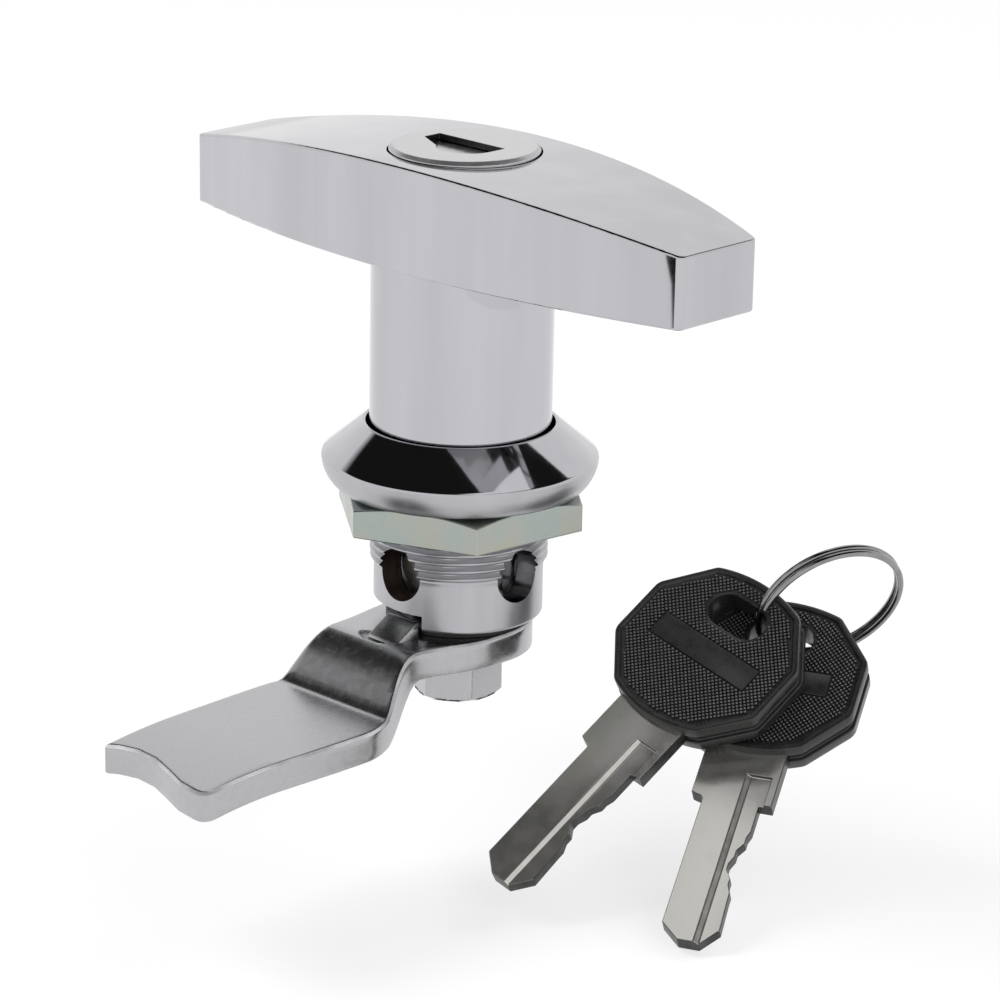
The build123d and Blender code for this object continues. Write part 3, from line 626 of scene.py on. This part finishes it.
def makeCollarBody(v):
    points = roundProfile(collarCorners(v))
    rows = int(-v["threadLow"] / v["threadPitch"] * v["rowsPerPitch"])
    points += [(v["threadRoot"], v["threadLow"] * (1 - k / rows)) for k in range(rows)]
    depth = v["threadCrest"] - v["threadRoot"]

    def thread(r, z, angle):
        if not v["threadLow"] - v["near"] <= z < 0 or abs(r - v["threadRoot"]) > v["near"]:
            return 0.0
        fade = min(1.0, (z - v["threadLow"]) / v["threadFade"])
        wave = abs(2 * ((z / v["threadPitch"] - angle / (2 * math.pi)) % 1.0) - 1)
        return depth * fade * min(1.0, max(0.0, (wave - v["threadGap"]) / v["threadFlank"]))

    mesh = turnedMesh("collarBody", points, v["segments"], thread)
    mesh.shade_smooth()
    piece = addPiece("collarBody", mesh, "chrome_casting", "lock_housing", ["housing"])
    cutters = []
    for angle in crossHole["angles"]:
        cutters.append(crossCutter("holeCutter", v["holeRadius"], v["holeHeight"], angle))
    sector = [(0, 0)]
    for k in range(v["notchSteps"] + 1):
        angle = math.radians(v["notchFrom"] + (v["notchTo"] - v["notchFrom"]) * k / v["notchSteps"])
        sector.append((v["notchReach"] * math.cos(angle), v["notchReach"] * math.sin(angle)))
    low = v["skirtLow"]
    notch = prismMesh("notchCutter", sector, low - v["notchDepth"], low + v["notchDepth"])
    cutters.append(looseObject("notchCutter", notch))
    cutAway(piece, cutters)
    sharpen(piece.data, v["sharp"])
    # satin below the rim, painted shade in the front hole and bare metal darkened by painted shade in the
    # other three
    for name in ("satin_casting", "painted_shade_bore", "shaded_bare_bore"):
        piece.data.materials.append(materials[name])
    for face in piece.data.polygons:
        far, height = face.center.xy.length / mm, face.center.z / mm
        if height < v["satinBelow"]:
            inHole = far < v["skirtRadius"] - v["holeInset"] and abs(height - v["holeHeight"]) < v["holeSpan"]
            bore = 2 if face.center.y < v["frontHole"] * mm else 3
            face.material_index = bore if inHole else 1


def sharpen(mesh, angle):
    mesh.shade_smooth()
    mesh.set_sharp_from_angle(angle=math.radians(angle))


makeCollarBody(collarBody)
print("collar body turned and cut")

# cam: a cranked plate with rounded edges, a waist, a waved tip, a pressed stop and a dimple

camShape = {
    "thickness": 3.65, "top": -17.3, "drop": 6.05, "rampStart": 15.6, "rampEnd": 20.6, "tip": 49.2,
    "droop": 0.8, "droopStart": 38.0, "rootRadius": 9.3, "tipHalf": 9.8, "wave": 1.3, "corner": 1.6,
    "waistRight": (6.7, 14.0), "waistLeft": (8.3, 13.0),
    "flareRight": (10.6, 25.5), "flareLeft": (10.3, 23.5),
    "crest": 5.2, "foot": 1.8, "bendShare": 0.45, "runSteps": 14,
    # the waved tip, (x, up from its far edge), with its ends measured in from the corners
    "waveRight": (0.8, 0.02),
    "waveMiddle": [(4.6, 0.35), (1.2, 1.5), (-2.2, 2.55), (-5.4, 2.75), (-8.0, 2.15)],
    "waveLeft": [(0.6, 1.55), (0.12, 1.55), (0.0, 1.85)],
    "leftStart": 2.6,
    # rounded edges; the rings with a painted highlight are counted from the top face
    "edge": 0.55, "edgeSteps": 4, "sideShares": (0.3, 0.5, 0.7), "lowEdge": 0.25, "lowEdgeSteps": 3,
    "highlightRings": (1, 2), "sharp": 42,
    # how finely the faces are sliced, along x and y, the last one round the dimple
    "topGrid": (1.0, 0.5), "underGrid": (2.0, 0.7), "fineGrid": (0.25, 0.2), "fineMargin": 0.3,
    "square": 4.55, "squareBelow": 6, "squareAbove": 1,
    "lug": {"inner": 9.25, "outer": 12.8, "half": 2.6, "height": 1.8, "sunk": 0.4, "topRun": 0.5,
            "footRun": 0.3, "bevel": 0.22, "bevelAbove": 0.1, "sharp": 30},
    "dimple": {"x": -0.9, "y": -13.1, "halfLong": 2.9, "halfWide": 1.2, "depth": 0.5},
}


def smoothBetween(points, perRun):
    # a curve through (x, y) points that leaves and meets each end along Y
    out = []
    for (x0, y0), (x1, y1) in zip(points, points[1:]):
        for k in range(perRun):
            t = k / perRun
            s = t * t * (3 - 2 * t)
            out.append((x0 + (x1 - x0) * s, y0 + (y1 - y0) * t))
    out.append(points[-1])
    return out


def camOutline(v):
    root, tip = v["rootRadius"], v["tipHalf"]
    far = -v["tip"] - v["wave"]
    corner = v["corner"]
    halfTurn = [math.radians(a) for a in range(180, -1, -5)]
    outline = [(root * math.cos(a), root * math.sin(a)) for a in halfTurn]
    right = [(root, -root / 3), (v["waistRight"][0], -v["waistRight"][1]),
             (v["flareRight"][0], -v["flareRight"][1]), (tip, far + corner)]
    outline += smoothBetween(right, v["runSteps"])
    for a in range(-10, -91, -16):
        outline.append((tip - corner + corner * math.cos(math.radians(a)),
                        far + corner + corner * math.sin(math.radians(a))))
    outline.append((tip - corner - v["waveRight"][0], far + v["waveRight"][1]))
    outline += [(x, far + up) for x, up in v["waveMiddle"]]
    outline += [(-tip + inwards, far + up) for inwards, up in v["waveLeft"]]
    left = [(-tip, far + v["leftStart"]), (-v["flareLeft"][0], -v["flareLeft"][1]),
            (-v["waistLeft"][0], -v["waistLeft"][1]), (-root, -root / 3)]
    return outline + smoothBetween(left, v["runSteps"])


def crankHeight(v, y, lean):
    # height of the plate's face over its length; lean moves the bends for the underside
    run = -y
    start, end = v["rampStart"] - lean, v["rampEnd"] - lean
    steep = v["drop"] / (end - start)
    crestRun = v["crest"] if lean == 0 else v["foot"]
    footRun = v["foot"] if lean == 0 else v["crest"]

    def bend(x, at, half):
        # a line that turns from level to a slope of one at a point, rounded over a half width each way
        if x < at - half:
            return 0.0
        if x > at + half:
            return x - at
        return (x - at + half) ** 2 / (4 * half)

    share = v["bendShare"]
    height = -steep * bend(run, start, crestRun * share) + steep * bend(run, end, footRun * share)
    if run > v["droopStart"]:
        height -= v["droop"] * ((run - v["droopStart"]) / (v["tip"] - v["droopStart"])) ** 2
    return height


def camFaceHeight(v, x, y):
    height = v["top"] + crankHeight(v, y, 0)
    d = v["dimple"]
    far = ((x - d["x"]) / d["halfLong"]) ** 2 + ((y - d["y"]) / d["halfWide"]) ** 2
    if far < 1:
        height -= d["depth"] * math.sqrt(1 - far)
    return height


def camUnderHeight(v, y):
    lean = v["thickness"] * math.tan(math.atan(v["drop"] / (v["rampEnd"] - v["rampStart"])) / 2)
    return v["top"] - v["thickness"] + crankHeight(v, y, lean)


def insetLoop(loop, amount):
    # the outline moved inwards along its own normals
    count = len(loop)
    moved = []
    for k in range(count):
        ax, ay = loop[k - 1]
        bx, by = loop[(k + 1) % count]
        dx, dy = bx - ax, by - ay
        size = math.hypot(dx, dy) or 1
        moved.append((loop[k][0] + dy / size * amount, loop[k][1] - dx / size * amount))
    return moved


def evenCuts(low, high, step):
    count = max(1, int((high - low) / step))
    return [low + (high - low) * (k + 0.5) / count for k in range(count)]


def faceGrid(work, ring, heightAt, boxes):
    # fill a closed ring of verts, slice the fill over each box, and lay it on a height field
    faces = {work.faces.new(ring)}
    cuts = []
    for (lowX, highX), (lowY, highY), (stepX, stepY) in boxes:
        cuts += [("x", x) for x in evenCuts(lowX, highX, stepX)]
        cuts += [("y", y) for y in evenCuts(lowY, highY, stepY)]
    for axis, at in cuts:
        geom = list({v for f in faces for v in f.verts} | {e for f in faces for e in f.edges} | faces)
        normal = (1, 0, 0) if axis == "x" else (0, 1, 0)
        where = (at, 0, 0) if axis == "x" else (0, at, 0)
        done = bmesh.ops.bisect_plane(work, geom=geom, dist=1e-5, plane_co=where, plane_no=normal)
        faces = {g for g in done["geom"] if isinstance(g, bmesh.types.BMFace)}
    for vert in {v for f in faces for v in f.verts}:
        vert.co.z = heightAt(vert.co.x, vert.co.y)


def spanOf(ring):
    # the ring's extent along x and along y
    xs, ys = [v.co.x for v in ring], [v.co.y for v in ring]
    return (min(xs), max(xs)), (min(ys), max(ys))


def meshFrom(work, name):
    # the bmesh, drawn in millimetres, as a mesh in metres
    bmesh.ops.scale(work, vec=(mm, mm, mm), verts=work.verts)
    mesh = bpy.data.meshes.new(name)
    work.to_mesh(mesh)
    work.free()
    return mesh


def camLevels(v):
    # rings down the side as (inset, share of the way down, extra depth)
    edge, lowEdge = v["edge"], v["lowEdge"]
    levels = []
    for k in range(v["edgeSteps"] + 1):
        a = math.radians(90 * k / v["edgeSteps"])
        levels.append((edge * (1 - math.sin(a)), 0.0, edge * (1 - math.cos(a))))
    for share in v["sideShares"]:
        levels.append((0.0, share, 0.0))
    for k in range(v["lowEdgeSteps"] + 1):
        a = math.radians(90 * k / v["lowEdgeSteps"])
        levels.append((lowEdge * (1 - math.cos(a)), 1.0, -lowEdge * (1 - math.sin(a))))
    return levels


def makeCam(v):
    outline = camOutline(v)
    work = bmesh.new()
    rings = []
    for inset, share, depth in camLevels(v):
        ring = []
        for x, y in insetLoop(outline, inset):
            top, under = camFaceHeight(v, x, y), camUnderHeight(v, y)
            ring.append(work.verts.new((x, y, top + (under - top) * share - depth)))
        rings.append(ring)
    for j, (upper, lower) in enumerate(zip(rings, rings[1:])):
        for k in range(len(upper)):
            n = (k + 1) % len(upper)
            face = work.faces.new((upper[k], upper[n], lower[n], lower[k]))
            # the top edge's rounding gets the painted highlight
            face.material_index = 1 if j in v["highlightRings"] else 0
    d, margin = v["dimple"], v["fineMargin"]
    fineX = (d["x"] - d["halfLong"] - margin, d["x"] + d["halfLong"] + margin)
    fineY = (d["y"] - d["halfWide"] - margin, d["y"] + d["halfWide"] + margin)
    topBoxes = [(*spanOf(rings[0]), v["topGrid"]), (fineX, fineY, v["fineGrid"])]
    faceGrid(work, rings[0], lambda x, y: camFaceHeight(v, x, y), topBoxes)
    faceGrid(work, rings[-1], lambda x, y: camUnderHeight(v, y), [(*spanOf(rings[-1]), v["underGrid"])])
    bmesh.ops.recalc_face_normals(work, faces=work.faces)
    mesh = meshFrom(work, "camPlate")
    shades = [face.material_index for face in mesh.polygons]
    piece = addPiece("camPlate", mesh, "nickel_plate", "handle", ["cam"])
    mesh.materials.append(materials["painted_edge_highlight"])
    mesh.polygons.foreach_set("material_index", shades)
    half = v["square"]
    square = [(-half, -half), (half, -half), (half, half), (-half, half)]
    cutter = prismMesh("squareCutter", square, v["top"] - v["squareBelow"], v["top"] + v["squareAbove"])
    cutAway(piece, [looseObject("squareCutter", cutter)])
    sharpen(piece.data, v["sharp"])


def makeCamLug(v):
    lug = v["lug"]
    base, top = v["top"] - lug["sunk"], v["top"] + lug["height"]
    work = bmesh.new()
    side = [(-lug["inner"], base), (-lug["inner"], top), (-lug["inner"] - lug["topRun"], top),
            (-lug["outer"], v["top"]), (-lug["outer"] - lug["footRun"], base)]
    rows = [[work.verts.new((x, y, z)) for y, z in side] for x in (-lug["half"], lug["half"])]
    work.faces.new(rows[0])
    work.faces.new(list(reversed(rows[1])))
    for k in range(len(side)):
        n = (k + 1) % len(side)
        work.faces.new((rows[0][n], rows[0][k], rows[1][k], rows[1][n]))
    limit = base + lug["bevelAbove"]
    edges = [edge for edge in work.edges if max(end.co.z for end in edge.verts) > limit]
    bmesh.ops.bevel(work, geom=edges, offset=lug["bevel"], segments=3, affect="EDGES", profile=0.5)
    bmesh.ops.recalc_face_normals(work, faces=work.faces)
    mesh = meshFrom(work, "camLug")
    sharpen(mesh, lug["sharp"])
    addPiece("camLug", mesh, "nickel_plate", "handle")


makeCam(camShape)
makeCamLug(camShape)
print("cam pressed")

# key heads: a moulded black head with a raised rim, a knurled panel, a bare pad, a side groove and a slot

keyHead = {
    "sideHalf": 11.7, "sideHigh": 4.0, "sideLow": -4.2, "cornerX": 6.8, "cornerHigh": 10.0, "cornerLow": -9.8,
    "crown": 11.3, "cornerRadius": 1.9, "thickness": 4.5, "panel": 0.35, "arcSteps": 16, "sharp": 28,
    # corners that turn by more than this many degrees are rounded, over at most this share of their sides
    "roundAbove": 12, "roundShare": 0.45,
    # over the edge from the face to the side groove, as (inset, depth)
    "rings": [(0.98, 0.35), (0.90, 0.33), (0.70, 0.03), (0.62, 0.0), (0.26, 0.0), (0.09, 0.09), (0.0, 0.30),
              (0.0, 1.50), (0.08, 1.60), (0.42, 1.68), (0.50, 1.80)],
    "slot": {"length": 8.2, "height": 4.7, "y": 5.85, "flare": 0.14, "flareShare": 0.3, "steps": 14,
             "beyond": 1.0, "skin": 0.001},
    "pad": {"x": 7.7, "low": -2.0, "high": 1.2, "proud": 0.03, "sunk": 0.1, "bevel": 0.1, "sharp": 40},
    # margins to the rim and the slot are shares of a bump's base, and flat is its top's share of the base
    "knurl": {"pitch": 0.66, "base": 0.56, "height": 0.32, "flat": 0.62, "clear": 0.35, "sunk": 0.02,
              "rimMargin": 0.55, "slotMargin": 0.6},
}
keyPlaces = [
    ("key_1_head", "key_one", (25.9, 17.2, -19.2), (36.9, 12.5, -7.7)),
    ("key_2_head", "key_two", (5.4, 3.94, -6.1), (-5.37, 1.29, 26.76)),  # from the first key
]


def placed(at, turn):
    rx, ry, rz = (math.radians(a) for a in turn)
    spin = Matrix.Rotation(rx, 4, "X") @ Matrix.Rotation(ry, 4, "Y") @ Matrix.Rotation(rz, 4, "Z")
    return Matrix.Translation([c * mm for c in at]) @ spin


def arcThrough(a, b, c, steps):
    # points on the circle through three points, from a to c
    ax, ay, bx, by, cx, cy = *a, *b, *c
    d = 2 * (ax * (by - cy) + bx * (cy - ay) + cx * (ay - by))
    aa, bb, cc = ax * ax + ay * ay, bx * bx + by * by, cx * cx + cy * cy
    ux = (aa * (by - cy) + bb * (cy - ay) + cc * (ay - by)) / d
    uy = (aa * (cx - bx) + bb * (ax - cx) + cc * (bx - ax)) / d
    radius = math.hypot(ax - ux, ay - uy)
    first = math.atan2(ay - uy, ax - ux)
    last = math.atan2(cy - uy, cx - ux)
    if last - first > math.pi:
        last -= 2 * math.pi
    if first - last > math.pi:
        last += 2 * math.pi
    return [(ux + radius * math.cos(first + (last - first) * k / steps),
             uy + radius * math.sin(first + (last - first) * k / steps)) for k in range(steps + 1)]


def headOutline(v):
    # clockwise from the top left corner
    x, cx = v["sideHalf"], v["cornerX"]
    top = arcThrough((-cx, v["cornerHigh"]), (0, v["crown"]), (cx, v["cornerHigh"]), v["arcSteps"])
    foot = arcThrough((cx, v["cornerLow"]), (0, -v["crown"]), (-cx, v["cornerLow"]), v["arcSteps"])
    path = top + [(x, v["sideHigh"]), (x, v["sideLow"])] + foot + [(-x, v["sideLow"]), (-x, v["sideHigh"])]
    rounded = []
    count = len(path)
    for k, point in enumerate(path):
        before, after = Vector(path[k - 1]), Vector(path[(k + 1) % count])
        here = Vector(point)
        bend = (here - before).angle(after - here)
        if bend > math.radians(v["roundAbove"]):
            reach = min((here - before).length, (after - here).length) * v["roundShare"]
            radius = min(v["cornerRadius"], reach / math.tan(bend / 2))
            rounded += cornerArc(here, before, after, radius)
        else:
            rounded.append(tuple(here))
    return rounded


def insideLoop(loop, x, y):
    inside = False
    for k in range(len(loop)):
        (x0, y0), (x1, y1) = loop[k - 1], loop[k]
        if (y0 > y) != (y1 > y) and x < (x1 - x0) * (y - y0) / (y1 - y0) + x0:
            inside = not inside
    return inside


def slotLoop(v, grow):
    steps = v["steps"]
    radius = v["height"] / 2 + grow
    reach = v["length"] / 2 - v["height"] / 2
    right = [(reach + radius * math.sin(math.pi * k / steps), v["y"] + radius * math.cos(math.pi * k / steps))
             for k in range(steps + 1)]
    left = [(-x, 2 * v["y"] - y) for x, y in right]
    return right + left


def loftMesh(name, loops):
    # closed solid through loops of (x, y, z) with the same number of points
    verts = [tuple(c * mm for c in point) for loop in loops for point in loop]
    count = len(loops[0])
    faces = [tuple(range(count)), tuple(reversed(range((len(loops) - 1) * count, len(loops) * count)))]
    for j in range(len(loops) - 1):
        for k in range(count):
            n = (k + 1) % count
            faces.append((j * count + n, j * count + k, (j + 1) * count + k, (j + 1) * count + n))
    mesh = bpy.data.meshes.new(name)
    mesh.from_pydata(verts, [], faces)
    turnOutwards(mesh)
    return mesh


def makeHead(v, name, body, place):
    outline = headOutline(v)
    thick = v["thickness"]
    levels = [(inset, -depth) for inset, depth in v["rings"]]
    levels += [(inset, -thick + depth) for inset, depth in reversed(v["rings"])]
    bodyLoops = [[(x, y, z) for x, y in insetLoop(outline, inset)] for inset, z in levels]
    head = looseObject(name + "_body", loftMesh(name + "_body", bodyLoops))
    slot = v["slot"]
    deep, flare, beyond, skin = v["panel"], slot["flare"], slot["beyond"], slot["skin"]
    part = flare * slot["flareShare"]
    cutLevels = [(flare, beyond), (flare, -deep + skin), (part, -deep - part), (0, -deep - flare),
                 (0, -thick + deep + flare), (part, -thick + deep + part),
                 (flare, -thick + deep - skin), (flare, -thick - beyond)]
    slotLoops = [[(x, y, z) for x, y in slotLoop(slot, grow)] for grow, z in cutLevels]
    cutAway(head, [looseObject(name + "_slot", loftMesh(name + "_slot", slotLoops))])
    mesh = head.data
    bpy.data.objects.remove(head)
    sharpen(mesh, v["sharp"])
    addPiece(name + "_moulded", mesh, "black_key_plastic", body, [name], place)
    addPads(v, name, body, place)
    addKnurl(v, name, body, place, outline)


def addPads(v, name, body, place):
    # the bare rectangle on either face
    pad = v["pad"]
    thick, panel, proud, sunk = v["thickness"], v["panel"], pad["proud"], pad["sunk"]
    work = bmesh.new()
    for low, high in ((-panel - sunk, -proud), (-thick + proud, -thick + panel + sunk)):
        made = bmesh.ops.create_cube(work, size=1.0)
        for vert in made["verts"]:
            vert.co.x *= 2 * pad["x"]
            vert.co.y = pad["low"] if vert.co.y < 0 else pad["high"]
            vert.co.z = low if vert.co.z < 0 else high
    bmesh.ops.bevel(work, geom=list(work.edges), offset=pad["bevel"], segments=3, affect="EDGES", profile=0.5)
    mesh = meshFrom(work, name + "_pads")
    sharpen(mesh, pad["sharp"])
    addPiece(name + "_pads", mesh, "black_key_plastic", body, place=place)


def addKnurl(v, name, body, place, outline):
    # rows of small blunt pyramids on both faces, every second row shifted by half a pitch
    knurl, pad = v["knurl"], v["pad"]
    pitch, clear, sunk, height = knurl["pitch"], knurl["clear"], knurl["sunk"], knurl["height"]
    front, rear = -v["panel"], -v["thickness"] + v["panel"]
    field = insetLoop(outline, v["rings"][0][0] + knurl["base"] * knurl["rimMargin"])
    hole = slotLoop(v["slot"], v["slot"]["flare"] + knurl["base"] * knurl["slotMargin"])
    b = knurl["base"] / 2
    t = b * knurl["flat"]
    verts, faces, highlightTops = [], [], []
    rows = int(2 * v["crown"] / (pitch / 2)) + 2
    columns = int(2 * v["sideHalf"] / pitch) + 1
    for row in range(rows):
        y = -v["crown"] + row * pitch / 2
        offset = pitch / 2 * (row % 2)
        for column in range(columns):
            x = -v["sideHalf"] + offset + column * pitch
            if abs(x) < pad["x"] + clear and pad["low"] - clear < y < pad["high"] + clear:
                continue
            if not insideLoop(field, x, y) or insideLoop(hole, x, y):
                continue
            for base, tip in ((front - sunk, front + height), (rear + sunk, rear - height)):
                n = len(verts)
                verts += [(x - b, y, base), (x, y - b, base), (x + b, y, base), (x, y + b, base),
                          (x - t, y, tip), (x, y - t, tip), (x + t, y, tip), (x, y + t, tip)]
                quads = [(3, 2, 1, 0), (0, 1, 5, 4), (1, 2, 6, 5), (2, 3, 7, 6), (3, 0, 4, 7), (4, 5, 6, 7)]
                if tip < base:
                    quads = [tuple(reversed(q)) for q in quads]
                faces += [tuple(n + i for i in q) for q in quads]
                highlightTops.append(len(faces) - 1)
    mesh = bpy.data.meshes.new(name + "_knurl")
    mesh.from_pydata([tuple(c * mm for c in p) for p in verts], [], faces)
    addPiece(name + "_knurl", mesh, "black_key_plastic", body, place=place)
    # the pyramids' flat tops are painted lighter as a painted highlight
    mesh.materials.append(materials["knurl_tip_highlight"])
    for face in highlightTops:
        mesh.polygons[face].material_index = 1


firstKey = placed(*keyPlaces[0][2:])
secondKey = firstKey @ placed(*keyPlaces[1][2:])
for (nodeName, body, at, turn), place in zip(keyPlaces, (firstKey, secondKey)):
    makeHead(keyHead, nodeName, body, place)
    shadeBladeEdges(bpy.data.objects[nodeName.replace("head", "blade") + "_rounded"], place, bladeEdgeLimit)
print("key heads moulded and knurled")

# coil springs of the wafers and of the retainer

springCoil = {"from": -1.15, "to": 1.85, "y": 3.35, "heights": (31.2, 29.2, 27.2, 25.2, 23.2, 19.6),
              "radius": 0.30, "wire": 0.055, "turns": 9, "perTurn": 16, "sides": 8, "closing": 0.09}


def makeCoils(v):
    verts, faces = [], []
    steps = v["turns"] * v["perTurn"]
    length = v["to"] - v["from"] - 2 * v["wire"]
    for height in v["heights"]:
        start = len(verts)
        for k in range(steps + 1):
            t = k / steps
            # the turns lie closer at the ends than in the middle
            along = v["from"] + v["wire"] + length * (t - v["closing"] * math.sin(2 * math.pi * t))
            angle = 2 * math.pi * v["turns"] * t
            outward = Vector((0, math.cos(angle), math.sin(angle)))
            run = Vector((length / steps * v["perTurn"] / (2 * math.pi), -math.sin(angle) * v["radius"],
                          math.cos(angle) * v["radius"])).normalized()
            side = run.cross(outward)
            centre = Vector((along, v["y"], height)) + outward * v["radius"]
            for j in range(v["sides"]):
                a = 2 * math.pi * j / v["sides"]
                verts.append((centre + (outward * math.cos(a) + side * math.sin(a)) * v["wire"]) * mm)
        for k in range(steps):
            for j in range(v["sides"]):
                n = (j + 1) % v["sides"]
                row, nextRow = start + k * v["sides"], start + (k + 1) * v["sides"]
                faces.append((row + j, row + n, nextRow + n, nextRow + j))
        faces.append(tuple(start + j for j in reversed(range(v["sides"]))))
        faces.append(tuple(start + steps * v["sides"] + j for j in range(v["sides"])))
    mesh = bpy.data.meshes.new("waferCoils")
    mesh.from_pydata(verts, [], faces)
    mesh.shade_smooth()
    addPiece("waferCoils", mesh, "spring_steel", "key_plug", ["wafer_springs"])


makeCoils(springCoil)
print("springs coiled")
